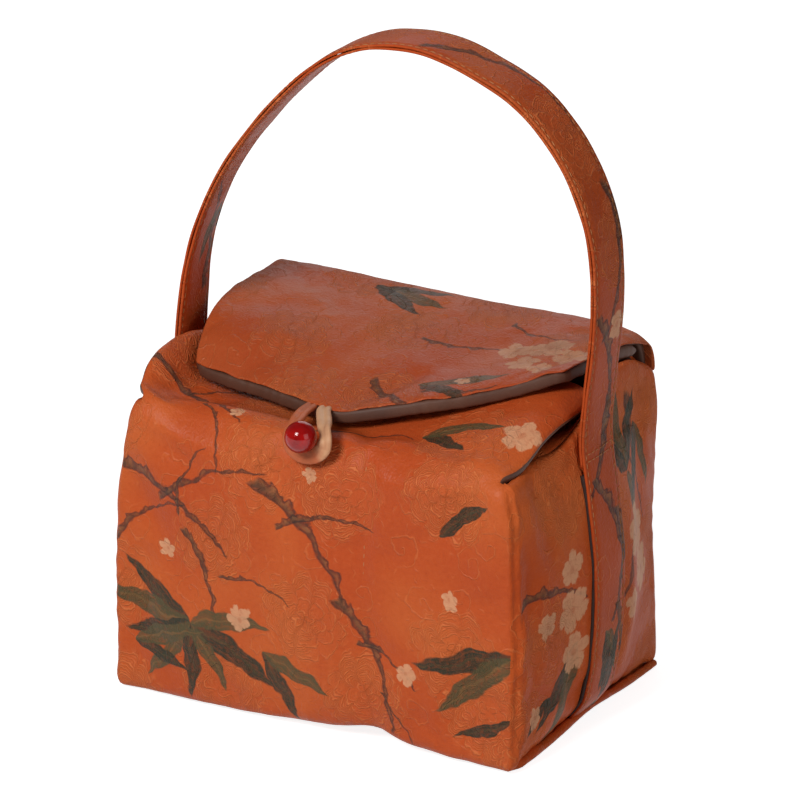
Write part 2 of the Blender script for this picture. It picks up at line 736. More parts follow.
# %% Wall shape
PINCH_PLACES = (0, 40, 74, 91, 100, 108, 119, 128, 150)
PINCH_LEFT = (0, 0, 1.2, 2.4, 3.8, 5.6, 9.2, 10.5, 10.5)
PINCH_RIGHT = (0, 0, 0.4, 0.8, 1.0, 1.6, 4.2, 4.6, 4.6)
WAIST_PLACES = (0, 14, 36, 66, 96, 118, 130, 150)
WAIST_BACK = (0.4, 0.4, 1.4, 3.2, 2.4, 1.4, 2.8, 3.2)
SHOULDER = 14 * MM
SHOULDER_TOP = 127.3 * MM
SIDE_RIM_PLACES = (-65.5, -40, -16, 2, 14, 26, 36, 46, 57, 65.5)
BACK_RIM_HEIGHT, BACK_RIM_DROP = 141 * MM, 9.5 * MM
SIDE_RIM_HEIGHTS = (123.4, 123.4, 125.4, 133.0, 141.4, 143.2, 142.4, 140.6, 135.6, 131.0)


def plan(girth):
    """Place and outward direction on the bag's outline at a girth."""
    side = 1 if girth >= 0 else -1
    run = abs(girth)
    if run < FRONT_FLAT:
        x, y, out = run, -HALF_DEPTH, Vector((0, -1, 0))
    elif run < SIDE_START:
        turn = (run - FRONT_FLAT) / CORNER
        x, y = FRONT_FLAT + CORNER * math.sin(turn), -SIDE_FLAT - CORNER * math.cos(turn)
        out = Vector((math.sin(turn), -math.cos(turn), 0))
    elif run < SIDE_FINISH:
        x, y, out = HALF_WIDTH, run - SIDE_START - SIDE_FLAT, Vector((1, 0, 0))
    elif run < HALF_GIRTH - FRONT_FLAT:
        turn = (run - SIDE_FINISH) / CORNER
        x, y = FRONT_FLAT + CORNER * math.cos(turn), SIDE_FLAT + CORNER * math.sin(turn)
        out = Vector((math.cos(turn), math.sin(turn), 0))
    else:
        x, y, out = max(HALF_GIRTH - run, 0), HALF_DEPTH, Vector((0, 1, 0))
    return Vector((side * x, y, 0)), Vector((side * out.x, out.y, 0))


def base_lift(x, y):
    """How far the base rises off the table at a place."""
    pulled = 3.7 * MM * hill(x - 28 * MM, 13 * MM) + 2.7 * MM * hill(x - 18 * MM, 42 * MM)
    front = pulled * ease((-y - 10 * MM) / (55 * MM))
    side = 2.6 * MM * hill(y - 4 * MM, 26 * MM) * ease((abs(x) - 50 * MM) / (40 * MM))
    return front + side


def corner_rise(x, y):
    """How much higher the body stands at its front left corner."""
    return 4.6 * MM * ease((-x - 58 * MM) / (26 * MM)) * ease((-y - 40 * MM) / (20 * MM))


def rim_height(x, y):
    """Height of the top edge of the walls."""
    if y < HALF_DEPTH - 0.4 * MM:
        return spline(SIDE_RIM_PLACES, SIDE_RIM_HEIGHTS, y / MM) * MM + corner_rise(x, y)
    return BACK_RIM_HEIGHT - BACK_RIM_DROP * ease((abs(x) - 68 * MM) / (20 * MM))


def round_over(height, top, radius):
    """How far a rounded edge falls back at a height, under its top."""
    share = limit((height - top + radius) / radius, 0, 0.97)
    return radius * (1 - math.sqrt(1 - share * share))


WALL_FOLDS = folds(
    (26, 126, 26, 66, 4.5, -1.5), (24, 76, 30, 4, 10, -1.6), (14, 60, 12, 4, 10, 0.9),
    (46, 40, 40, 2, 9, 1.2), (-92, 118, -52, 88, 8, 1.8), (-92, 106, -66, 70, 7, -1.4),
    (-86, 122, -34, 108, 6, 1.2), (-84, 116, -54, 106, 3.5, -1.5), (84, 120, 58, 92, 7, -1.6),
    (86, 112, 76, 60, 6, 1.2), (82, 122, 38, 112, 7, 1.6), (78, 90, 70, 20, 8, -1.3),
    (56, 8, 66, 60, 9, 1.0), (-60, 4, -40, 46, 10, 1.0), (-84, 6, -78, 60, 8, -1.0),
    (-20, 118, -34, 70, 8, 0.9), (101, 116, 118, 60, 6, 1.5), (98, 110, 104, 30, 4, -1.3),
    (112, 120, 138, 106, 6, -1.8), (118, 112, 128, 60, 4, 0.9), (108, 80, 112, 10, 5, 0.9),
    (126, 70, 136, 4, 6, -1.6), (176, 8, 186, 80, 8, 1.4), (174, 70, 172, 6, 5, -1.4),
    (200, 120, 196, 60, 8, -1.4), (110, 6, 150, 30, 7, 1.0), (-104, 112, -124, 40, 7, 1.4),
    (-180, 118, -190, 50, 8, -1.6), (-130, 70, -136, 8, 6, -1.4), (-112, 118, -140, 104, 6, -1.6),
    (-240, 100, -280, 50, 9, 1.4), (250, 100, 290, 60, 9, -1.2), (-222, 126, -250, 96, 7, -1.6),
    (222, 126, 252, 92, 7, -1.6), (282, 60, 278, 6, 10, 1.2), (-262, 6, -250, 60, 9, 1.0),
)


# How far a wall swells and how square that swelling is, then how high it reaches.
SIDE_SWELL, FRONT_SWELL = (7.4 * MM, 1.4), (3.2 * MM, 2)
SWELL_HEIGHT, SWELL_LEAN = 116 * MM, 0.868


def wall_swell(girth, across, height):
    """How far the wall stands out from its flat plan."""
    run = abs(girth)
    on_side = FRONT_FLAT + CORNER_RUN * 0.5 < run < HALF_GIRTH - FRONT_FLAT - CORNER_RUN * 0.5
    most, roundness = SIDE_SWELL if on_side else FRONT_SWELL
    up = limit(height / SWELL_HEIGHT)
    swell = most * (1 - across ** 2) ** roundness * math.sin(math.pi * up ** SWELL_LEAN)
    swell = fold_up(swell, Vector((girth / MM, height / MM)), WALL_FOLDS, MM)
    spot = plan(girth)[0]
    cloth = Vector((spot.x, height, spot.y + HALF_DEPTH))
    swell += 0.7 * MM * ripple(cloth, 40 * MM, 3.1) + 0.3 * MM * ripple(cloth, 13 * MM, 8.4)
    near_edge = hill(height - 2 * MM, 12 * MM) + hill(run - FRONT_FLAT - 6 * MM, 7 * MM) * 0.7
    swell += 0.55 * MM * near_edge * ripple(cloth, 6.5 * MM, 5.7)
    return swell


def draw_in(point):
    """Draw the upper front corners inward."""
    height = limit(point.z / MM, 0, 150)
    forward = ease((-point.y + 8 * MM) / (HALF_DEPTH + 8 * MM))
    inward = spline(PINCH_PLACES, PINCH_LEFT if point.x < 0 else PINCH_RIGHT, height) * forward
    inward += spline(WAIST_PLACES, WAIST_BACK, height) * ease((point.y - 6 * MM) / (52 * MM))
    reach = min(abs(point.x) / HALF_WIDTH, 1)
    return Vector((point.x - math.copysign(inward * MM * reach ** 2, point.x), point.y, point.z))


def seam_share(y):
    """How much the rolled seam stands out: 1 along a side wall, 0 at the corners."""
    return ease((SIDE_FLAT + 2 * MM - abs(y)) / (10 * MM))


FOOT_TUCK, FOOT_ROUND = 2.4 * MM, 3 * MM
EDGE_RIDGE, EDGE_STEP, LEFT_RIDGE_SHARE = 0.9 * MM, 2.2 * MM, 0.4


def wall_point(girth, share):
    """Point of the outer cloth: round the girth and up from the base to the rim."""
    spot, out = plan(girth)
    sideways = abs(out.x)
    seam = seam_share(spot.y)
    foot = (0.4 + 2.2 * seam) * MM + base_lift(spot.x, spot.y)
    rim = rim_height(spot.x, spot.y)
    height = foot + (rim - foot) * share
    if abs(out.y) > sideways:
        across = min(abs(spot.x) / FRONT_FLAT, 1)
    else:
        across = min(abs(spot.y) / SIDE_FLAT, 1)
    rise = height - foot
    point = spot + out * wall_swell(girth, across, rise)
    # The foot tucks in over the rolled seam at the sides, and rounds under at the front and back.
    point -= out * seam * FOOT_TUCK * hill(rise, 4.5 * MM)
    point -= out * (1 - seam) * round_over(FOOT_ROUND - rise, FOOT_ROUND, FOOT_ROUND)
    # The front leans back under its fold, and the side walls round in at their rim.
    if spot.y < -SIDE_FLAT:
        point.y += round_over(height, SHOULDER_TOP + corner_rise(spot.x, spot.y), SHOULDER) * -out.y
    point -= out * sideways * round_over(height, rim + 1.6 * MM, 6 * MM)
    # A small ridge runs down the front corners, with a step behind it onto the side wall.
    past_edge = abs(girth) - FRONT_FLAT
    ridge = EDGE_RIDGE * hill(past_edge - CORNER_RUN * 0.4, 2.6 * MM)
    ridge -= EDGE_STEP * (ease((past_edge - CORNER_RUN * 0.9) / (1.2 * MM))
                          * (1 - ease((past_edge - CORNER_RUN - 2 * MM) / (18 * MM))))
    ridge *= 1 if girth > 0 else LEFT_RIDGE_SHARE
    ridge *= 0.6 + 0.4 * ease(rise / (20 * MM))
    point.x += math.copysign(ridge, girth) if spot.y < 0 else 0
    point.z = height
    return draw_in(point)


# %% Where the columns of the wall's cloth stand
def spread(first, last, count):
    """Evenly spread values from the first up to, but without, the last."""
    return [first + (last - first) * step / count for step in range(count)]


FLAP_CELLS, WALL_LINES, FLAP_LINES = 26, 34, 22
half_columns = (spread(0, FRONT_FLAT, FLAP_CELLS) + spread(FRONT_FLAT, SIDE_START, 5)
                + spread(SIDE_START, SIDE_START + 4 * MM, 4)
                + spread(SIDE_START + 4 * MM, SIDE_FINISH, 36)
                + spread(SIDE_FINISH, SIDE_FINISH + CORNER_RUN, 4)
                + spread(SIDE_FINISH + CORNER_RUN, HALF_GIRTH, 24) + [HALF_GIRTH])
wall_columns = [-girth for girth in reversed(half_columns[1:])] + half_columns
print("columns of cloth round the bag:", len(wall_columns) - 1)

# %% [markdown]
# ## The front flap
# The flap lies under the lid. Its left corner stands up like an ear, where the fold has a deep
# notch, and its right edge stands off the side wall, where the brown lining shows.

# %% Flap shape
FLAP_LENGTH = 76 * MM
FLAP_COLUMNS = (-1.0, -0.94, -0.86, -0.7, -0.4, 0.0, 0.4, 0.7, 0.86, 0.94, 1.0)
FLAP_ROWS = (0.0, 0.107, 0.179, 0.268, 0.447, 0.671, 0.895, 1.0)
FLAP_LEFT = (78, 81.5, 84, 86, 87.6, 88.6, 88, 87)
FLAP_RIGHT = (84, 85.5, 87, 88, 88.5, 88.6, 88.6, 88)
FLAP_HEIGHTS = (
    (-4.0, -4.0, -4.0, -4.0, -4.0, -4.0, -4.0, -4.0, -4.0, -4.0, -4.0),
    (2.6, 1.8, 0.8, 0.0, 0.0, 0.0, 0.0, 0.0, -0.4, -1.6, -2.4),
    (5.6, 4.2, 1.6, -0.2, -0.4, -0.5, -0.3, 0.4, 0.6, 0.0, -1.0),
    (9.2, 6.0, 0.6, -2.0, -2.4, -2.6, -0.6, 2.4, 3.4, 2.4, 0.2),
    (13.0, 8.6, -1.0, -4.4, -4.2, -3.2, 1.8, 6.2, 7.8, 7.0, 4.4),
    (13.4, 9.4, -0.6, -4.2, -3.4, -1.2, 5.0, 10.0, 11.2, 9.8, 6.4),
    (10.5, 7.0, 3.0, 0.4, 0.5, 2.0, 7.2, 12.6, 14.2, 12.4, 7.2),
    (9.5, 6.5, 3.6, 1.4, 1.4, 2.8, 7.6, 12.8, 14.4, 13.0, 9.0),
)
FOLD_SHARE = 0.22
FOLD_DEPTH = 14 * MM


def bezier(first, second, third, fourth, t):
    """Point on a curve with two handles."""
    u = 1 - t
    return first * u ** 3 + second * 3 * u * u * t + third * 3 * u * t * t + fourth * t ** 3


FLAP_FOLDS = folds(
    (-80, -58, -50, -36, 4.5, -2.0), (-86, -48, -64, -20, 4, 1.2), (-72, -60, -30, -50, 6, 1.0),
    (82, -60, 50, -34, 6, 1.4), (86, -50, 66, -16, 5, -0.9), (-88, -30, -74, -8, 4, -1.2),
    (-86, -42, -70, -34, 2.4, 1.3), (-85, -36, -68, -30, 2.2, -1.3),
    (-82, -48, -66, -41, 2.6, -1.1), (-76, -54, -58, -50, 2.6, 0.9),
)


def flap_top(column, y):
    """Top face of the flap behind its fold."""
    row = (y + HALF_DEPTH) / FLAP_LENGTH
    half = spline(FLAP_ROWS, FLAP_LEFT if column < 0 else FLAP_RIGHT, row) * MM
    rise = table_value(FLAP_ROWS, FLAP_COLUMNS, FLAP_HEIGHTS, row, column)
    cloth = Vector((half * column, y, 0))
    rise = fold_up(rise, Vector((cloth.x / MM, y / MM)), FLAP_FOLDS)
    wave = 0.5 * MM * ripple(cloth, 26 * MM, 1.3) + 0.35 * MM * ripple(cloth, 10 * MM, 6.1)
    return Vector((half * column, y, FOLD_HEIGHT + rise * MM + wave))


def flap_point(s, t):
    """Point of the flap from the wall's rim over the fold to the free edge."""
    column = 2 * s - 1
    start = wall_point(column * FRONT_FLAT, 1)
    finish = flap_top(column, FOLD_DEPTH - HALF_DEPTH)
    if t < FOLD_SHARE:
        reach = (finish - start).length * 0.36
        return bezier(start, start + Vector((0, 0.59, 0.81)) * reach,
                      finish + Vector((0, -1, -0.05)) * reach, finish, t / FOLD_SHARE)
    run = (t - FOLD_SHARE) / (1 - FOLD_SHARE)
    return flap_top(column, FOLD_DEPTH - HALF_DEPTH + (FLAP_LENGTH - FOLD_DEPTH) * run)


def flap_flat(s, t):
    """Flat measures of the flap, going on from the front wall."""
    return ((2 * s - 1) * FRONT_FLAT, WALL_CLOTH + t * FLAP_CLOTH)


# %% Make the walls and the front flap
walls = bmesh.new()
wall_cells = len(wall_columns) - 1
cloth_grid(walls, wall_cells, WALL_LINES,
           lambda s, t: wall_point(wall_columns[round(s * wall_cells)], t),
           lambda s, t: (wall_columns[round(s * wall_cells)], t * WALL_CLOTH))
cloth_grid(walls, 2 * FLAP_CELLS, FLAP_LINES, flap_point, flap_flat)
bmesh.ops.remove_doubles(walls, verts=walls.verts, dist=0.05 * MM)


def flat_middle(work, face):
    """Middle of a face on the flat cloth."""
    layer = work.loops.layers.uv["cloth"]
    return sum((loop[layer].uv for loop in face.loops), Vector((0, 0))) / len(face.loops)


# Each outer cloth has the lining in the slot after its own, where the padding's inner faces go.
WALL_CLOTHS = [cloth for outer in (FRONT_SATIN, RIGHT_SATIN, LEFT_SATIN, BACK_SATIN)
               for cloth in (outer, LINING_SATIN)]
RIGHT_SLOT, LEFT_SLOT, BACK_SLOT = 2, 4, 6
for face in walls.faces:
    girth = flat_middle(walls, face).x
    if abs(girth) > SIDE_FINISH:
        face.material_index = BACK_SLOT
    elif abs(girth) > FRONT_FLAT + CORNER_RUN * 0.4:
        face.material_index = RIGHT_SLOT if girth > 0 else LEFT_SLOT
print("open edges:", sum(edge.is_boundary for edge in walls.edges))
bag_walls = finish_piece("bag_walls", walls, WALL_CLOTHS, thickness=WALL_PADDING, lined=True)
# The rim of the side walls is turned over, so the outer cloth shows on top there.
for polygon in bag_walls.data.polygons:
    if polygon.material_index % 2 and polygon.normal.z > 0.4 and abs(polygon.center.x) > 76 * MM:
        polygon.material_index -= 1


QUILT_X = 26 * MM


def wall_hold(place):
    """Pin the base, the corners, the quilting line and the fold; leave the rest soft."""
    base = hill(place.z - 2 * MM, 7 * MM)
    corner = hill(abs(place.x) - 90 * MM, 4 * MM) * hill(abs(place.y) - 64 * MM, 5 * MM)
    on_quilting = place.y < -58 * MM and place.z > 70 * MM
    quilt = hill(place.x - QUILT_X, 2.5 * MM) if on_quilting else 0
    rim = hill(abs(place.x) - 88 * MM, 5 * MM) * hill(place.z - 126 * MM, 6 * MM)
    return limit(max(base, corner, quilt, rim), 0.03)


settle_cloth(bag_walls, wall_hold, 0.035, 1.8 * MM)
soften(bag_walls, 1)

# %% Part the settled cloth at the front fold
smooth_normals = bag_walls.data.attributes.new("whole_normal", "FLOAT_VECTOR", "POINT")
for vertex in bag_walls.data.vertices:
    smooth_normals.data[vertex.index].vector = vertex.normal


def cut_piece(name, whole, is_flap):
    """The flap or the walls, cut out of the whole cloth with the normals it had there."""
    work = bmesh.new()
    work.from_mesh(whole.data)
    spare = [face for face in work.faces if (flat_middle(work, face).y > WALL_CLOTH) != is_flap]
    bmesh.ops.delete(work, geom=spare, context="FACES")
    part = finish_piece(name, work, list(whole.data.materials))
    normals = [tuple(entry.vector) for entry in part.data.attributes["whole_normal"].data]
    part.data.normals_split_custom_set_from_vertices(normals)
    return part


flap_pad = cut_piece("flap_pad", bag_walls, True)
wall_pad = cut_piece("wall_pad", bag_walls, False)
bpy.data.objects.remove(bag_walls)
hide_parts(*[wall + "_" + layer for wall in ("front", "right", "back", "left")
                        for layer in ("panel", "padding", "lining")])
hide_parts("front_flap_cover", "front_flap_padding", "front_flap_lining")
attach(wall_pad, "bag")
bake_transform(flap_pad)

# %% [markdown]
# ## The base
# A stiff board lies between the base cloth and a thin pad. Front and back cloth run on under the
# base, and the side walls meet it in a rolled seam. All follow the small lift at the front.

# %% Make the base
def rounded_disc(work, inset_x, inset_y, height, turned=False, slot=0, back=0):
    """A filled rounded rectangle, as a grid pressed to the outline."""
    half_x, half_y = HALF_WIDTH - inset_x, HALF_DEPTH - inset_y
    radius = 2 * MM

    def place(s, t):
        x, y = (2 * s - 1) * half_x, (2 * t - 1) * half_y
        over_x, over_y = abs(x) - (half_x - radius), abs(y) - (half_y - radius)
        if over_x > 0 and over_y > 0:
            stretch = max(over_x, over_y) / math.hypot(over_x, over_y)
            x = math.copysign(half_x - radius + over_x * stretch, x)
            y = math.copysign(half_y - radius + over_y * stretch, y)
        return Vector((x, y + back, height(x, y + back)))

    cloth_grid(work, 60, 44, place, lambda s, t: ((2 * s - 1) * half_x, (2 * t - 1) * half_y),
               turned, slot)


def floor_height(x, y):
    """Top of the floor pad, crowned in the middle."""
    crown = 1.6 * MM * (1 - (x / HALF_WIDTH) ** 2) * (1 - (y / HALF_DEPTH) ** 2)
    return 7.6 * MM + crown + base_lift(x, y) * 0.8


under = bmesh.new()
rounded_disc(under, 3.4 * MM, 5.0 * MM, lambda x, y: base_lift(x, y) + 0.3 * MM, turned=True,
             back=1.4 * MM)
floor_pad = bmesh.new()
rounded_disc(floor_pad, 5.2 * MM, 5.2 * MM, floor_height, slot=1)
bag_base = join_pieces("bag_base", [
    finish_piece("base_under", under, [RIGHT_SATIN, LINING_SATIN], thickness=UNDER_CLOTH),
    finish_piece("base_top", floor_pad, [RIGHT_SATIN, LINING_SATIN], thickness=FLOOR_PADDING)])
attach(bag_base, "bag")
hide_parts("base_panel", "base_padding", "base_lining", "base_board")

# %% Rolled seam round the base
ROLL_RADIUS = 2.2 * MM


def roll_point(s, t):
    """Point on the rolled seam, thick along the sides and thin under the front and the back."""
    girth = (2 * s - 1) * HALF_GIRTH
    spot, out = plan(girth)
    pucker = 0.45 * MM * ripple(Vector((girth, 0, 0)), 4.5 * MM, 2.2)
    seam = seam_share(spot.y) if spot.y < 0 else ease(abs(out.x))
    turn = 2 * math.pi * t
    radius = (ROLL_RADIUS + pucker) * (0.26 + 0.74 * seam)
    radius *= 1 - 0.25 * ease((spot.y + 50 * MM) / (60 * MM))
    furthest = Vector((HALF_WIDTH - (4.8 - 3.4 * seam) * MM, HALF_DEPTH - (5.6 - 2.6 * seam) * MM))
    middle = Vector((limit(spot.x, -furthest.x, furthest.x), limit(spot.y, -furthest.y, furthest.y),
                     radius + base_lift(spot.x, spot.y) + 0.1 * MM))
    return middle + out * radius * math.cos(turn) + UP * radius * math.sin(turn)


roll = bmesh.new()
cloth_grid(roll, 300, 12, roll_point, lambda s, t: ((2 * s - 1) * HALF_GIRTH, (t * 12 - 14) * MM))
close_tube(roll, 0.02 * MM, capped=False)
base_roll = finish_piece("base_roll", roll, [RIGHT_SATIN])
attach(base_roll, "bag")
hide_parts("base_piping")

# %% [markdown]
# ## The lid
# The back cloth goes on over the back fold as the lid, a padded pentagon whose point reaches down
# over the front flap. The satin ends in a thin hem, and a thick roll of brown lining shows under
# it.

# %% Lid shape
LID_COLUMNS = (-1.0, -0.93, -0.75, -0.5, -0.25, 0.0, 0.25, 0.5, 0.75, 0.93, 1.0)
LID_ROWS = (0.0, 0.12, 0.3, 0.5, 0.7, 0.86, 0.95, 1.0)
LID_REACHES = (90, 92, 95.5, 100, 105.5, 110, 104.5, 96.5, 81.5, 71, 69)
LID_LEFT = (85, 85.4, 85.6, 85.2, 84, 81, 78.2, 76)
LID_RIGHT = (86.5, 86, 85, 84, 83.3, 82.8, 82.5, 82)
LID_HEIGHTS = (
    (2.0, 2.4, 2.0, 1.4, 1.0, 0.5, 0.5, 0.5, 0.5, -1.5, -7.0),
    (3.0, 3.0, 2.6, 2.0, 1.6, 1.5, 1.5, 1.5, 1.3, 0.0, -4.0),
    (2.8, 2.6, 1.8, 1.0, 0.4, 0.0, 0.2, 0.5, 0.8, 0.4, -1.0),
    (2.0, 1.8, 1.2, -0.5, -2.4, -3.5, -3.0, -2.0, 0.5, 1.5, 1.2),
    (-0.8, -1.0, -1.5, -3.5, -6.0, -7.2, -6.0, -3.5, 0.0, 2.0, 2.2),
    (-7.2, -6.8, -7.5, -9.3, -11.0, -11.3, -8.7, -5.0, 0.0, 2.5, 3.0),
    (-12.5, -12.8, -12.6, -12.8, -13.3, -13.1, -9.9, -6.1, -0.9, 2.5, 3.3),
    (-16.0, -15.8, -15.2, -14.9, -14.8, -14.5, -11.2, -7.1, -2.2, 2.2, 3.5),
)
LID_FOLD_SHARE = 0.10
LID_FOLD_DEPTH = 8 * MM
LID_RIM_HALF, LID_FLAT_HALF = 87.6 * MM, 86 * MM
LID_FOLDS = folds(
    (2, -44, 26, -4, 5.5, -1.8), (-6, -42, -2, -8, 6, 1.4), (-74, -20, -30, -4, 8, 1.4),
    (-84, 4, -40, 22, 8, -1.2), (36, -30, 48, 0, 6, 1.2), (58, -16, 80, 20, 6, -1.2),
    (86, 64, 58, 40, 5, -1.6), (84, 56, 70, 20, 5, 1.2), (-50, -30, -38, -8, 6, -0.9),
    (20, 60, -10, 30, 10, -1.0),
)


def lid_top(column, row):
    """Top face of the lid."""
    half = spline(LID_ROWS, LID_LEFT if column < 0 else LID_RIGHT, row) * MM
    reach = spline(LID_COLUMNS, LID_REACHES, column) * MM
    rise = table_value(LID_ROWS, LID_COLUMNS, LID_HEIGHTS, row, column)
    cloth = Vector((half * column, HALF_DEPTH - reach * row, 0))
    rise = fold_up(rise, Vector((cloth.x / MM, cloth.y / MM)), LID_FOLDS)
    hem = max(hill(1 - row, 0.06), hill(1 - abs(column), 0.05))
    wave = 0.8 * MM * ripple(cloth, 30 * MM, 4.3)
    wave += (0.25 + 0.45 * hem) * MM * ripple(cloth, 8 * MM, 7.1)
    return Vector((cloth.x, cloth.y, LID_FOLD_HEIGHT + rise * MM + wave))


def lid_point(s, t):
    """Point of the lid from the back wall's rim over the fold to the front edge."""
    column = 2 * s - 1
    fold_row = LID_FOLD_DEPTH / (LID_REACHES[5] * MM)
    finish = lid_top(column, fold_row)
    rim = Vector((column * LID_RIM_HALF, HALF_DEPTH + 0.5 * MM, 0))
    rim.z = rim_height(rim.x, HALF_DEPTH) - 3 * MM
    if t < LID_FOLD_SHARE:
        up = (finish.z - rim.z) * 0.6
        return bezier(rim, rim + Vector((0, 0.4 * MM, up)), finish + Vector((0, 5 * MM, 0)), finish,
                      t / LID_FOLD_SHARE)
    run = (t - LID_FOLD_SHARE) / (1 - LID_FOLD_SHARE)
    return lid_top(column, fold_row + (1 - fold_row) * run)


def lid_flat(s, t):
    """Flat measures of the lid, from the fold to the front edge."""
    column = 2 * s - 1
    return (column * LID_FLAT_HALF, t * 1.08 * MM * spline(LID_COLUMNS, LID_REACHES, column))


# %% Make the lid
def lid_hold(place):
    """Pin the fold and the side hems of the lid; leave its top soft."""
    fold = ease((place.y - 52 * MM) / (10 * MM))
    sides = hill(abs(place.x) - 85 * MM, 4 * MM)
    return limit(max(fold, sides), 0.04)


LID_CELLS, LID_LINES = 84, 54
LID_CLOTHS = [LID_SATIN, LINING_SATIN]
lid_work = bmesh.new()
cloth_grid(lid_work, LID_CELLS, LID_LINES, lid_point, lid_flat, turned=True)
lid_sheet = finish_piece("lid_sheet", lid_work, LID_CLOTHS)
settle_cloth(lid_sheet, lid_hold, 0.025, 0.7 * MM, pressure=0.5)
settled = [vertex.co.copy() for vertex in lid_sheet.data.vertices]
lid_work = bmesh.new()
lid_work.from_mesh(lid_sheet.data)
bpy.data.objects.remove(lid_sheet)
lid_cover = finish_piece("lid_cover_cloth", lid_work, LID_CLOTHS, COVER_CLOTH, rounds=1)


LINING_INSET, LINING_REACH, LINING_DROP = 0.025, 0.968, 1.2 * MM


def lining_point(s, t):
    """Point of the lining, a little lower than the settled cover and drawn in from its hem."""
    across = (LINING_INSET + (1 - 2 * LINING_INSET) * s) * LID_CELLS
    along = t * LINING_REACH * LID_LINES
    column, row = min(int(across), LID_CELLS - 1), min(int(along), LID_LINES - 1)
    corner = row * (LID_CELLS + 1) + column
    near = settled[corner].lerp(settled[corner + 1], across - column)
    far = settled[corner + LID_CELLS + 1].lerp(settled[corner + LID_CELLS + 2], across - column)
    return near.lerp(far, along - row) - UP * LINING_DROP


lining = bmesh.new()
cloth_grid(lining, LID_CELLS, LID_LINES, lining_point, lid_flat, turned=True, slot=1)
lid_lining = finish_piece("lid_lining_pad", lining, LID_CLOTHS, LID_PADDING)

# %% Roll of lining along the lid's hem
# The hem's line goes forward along the left side, along the front, and back along the right side.
row_start = LID_CELLS + 1
LEFT_FIRST, RIGHT_LAST, SMOOTHINGS = 14, 8, 7
hem_line = ([settled[row * row_start] for row in range(LEFT_FIRST, LID_LINES)]
            + settled[LID_LINES * row_start:]
            + [settled[row * row_start + LID_CELLS]
               for row in range(LID_LINES - 1, RIGHT_LAST, -1)])
for smoothing in range(SMOOTHINGS):
    hem_line = [hem_line[max(at - 1, 0)].lerp(hem_line[min(at + 1, len(hem_line) - 1)], 0.5)
                for at in range(len(hem_line))]
HEM_HALF_HEIGHT, HEM_HALF_DEPTH, HEM_SQUARENESS = 2.7 * MM, 2.3 * MM, 0.6
print("points along the hem:", len(hem_line))


def hem_place(at):
    """Point on the smoothed hem, from the left side past the lid's point to the right side."""
    held = limit(at, 0, len(hem_line) - 1.001)
    return hem_line[int(held)].lerp(hem_line[int(held) + 1], held % 1)


def hem_point(s, t):
    """Point on the roll under the hem: nearly square in section, and a little puckered."""
    at = t * (len(hem_line) - 1)
    here = hem_place(at)
    forward = (hem_place(at + 1) - hem_place(at - 1)).normalized()
    out = forward.cross(UP).normalized()
    ends = 0.3 + 0.7 * ease(min(t, 1 - t) / 0.04)
    pucker = 1 + 0.11 * ripple(here, 3.2 * MM, 4.4) + 0.08 * ripple(here, 9 * MM, 1.4)
    turn = 2 * math.pi * s
    across = squared(math.cos(turn), HEM_SQUARENESS) * HEM_HALF_DEPTH * pucker * ends
    up = squared(math.sin(turn), HEM_SQUARENESS) * HEM_HALF_HEIGHT * pucker * ends
    return here + out * (across - 1.7 * MM) + Vector((0, 0, up - HEM_HALF_HEIGHT - 0.7 * MM))


hem = bmesh.new()
cloth_grid(hem, 20, 520, hem_point, lambda s, t: (s * 17 * MM, t * 300 * MM))
close_tube(hem, 0.02 * MM)
for face in hem.faces:
    face.material_index = 1
lid_roll = finish_piece("lid_roll", hem, LID_CLOTHS)
lid_pad = join_pieces("lid_pad", [lid_cover, lid_lining, lid_roll])
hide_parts("lid_cover", "lid_padding", "lid_lining")
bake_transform(lid_pad)

# %% [markdown]
# ## The dust flaps
# Each side wall ends in a thin flap that folds in over the tea set, under the front flap.

# %% Make the dust flaps
DUST_REACH = 48 * MM
DUST_SLOPE = math.tan(math.radians(16))


def dust_point(side, s, t):
    """Point of a dust flap from the side wall's rim inward."""
    inward = t * DUST_REACH
    front = -HALF_DEPTH + 13.5 * MM + inward * 0.90
    back = HALF_DEPTH - 15.5 * MM - inward * 0.40
    y = front + (back - front) * s
    fold = ease(inward / (5 * MM))
    top = 125.8 * MM + 0.0771 * y - 2.4 * MM * ease(inward / (16 * MM))
    fall = max(inward - 6.6 * MM, 0) * DUST_SLOPE
    height = (rim_height(HALF_WIDTH, y) - 1.5 * MM) * (1 - fold) + (top - fall) * fold
    height += 0.4 * MM * ripple(Vector((inward, y, side)), 16 * MM, 3.3) * ease(inward / (8 * MM))
    return draw_in(Vector((side * (HALF_WIDTH - 4.4 * MM - inward), y, height)))


for name, side in (("left", -1), ("right", 1)):
    dust = bmesh.new()
    cloth_grid(dust, 40, 22, lambda s, t: dust_point(side, s, t),
               lambda s, t: (side * (110 + s * 100) * MM, (121 + t * 48) * MM), turned=side < 0)
    satin_side = LEFT_SATIN if side < 0 else RIGHT_SATIN
    dust_flap = finish_piece(name + "_dust_flap", dust, [satin_side, LINING_SATIN],
                             DUST_CLOTH, lined=True, rounds=1)
    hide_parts(name + "_dust_flap_cover", name + "_dust_flap_lining")
    side * HALF_WIDTH
    side * (HALF_WIDTH - 5 * MM)
    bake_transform(dust_flap)

# %% [markdown]
# ## The strap
# One long strap is sewn up each side and makes the arch. It is two layers of satin with a narrow
# dark line between their edges, and a row of stitches runs along each edge.

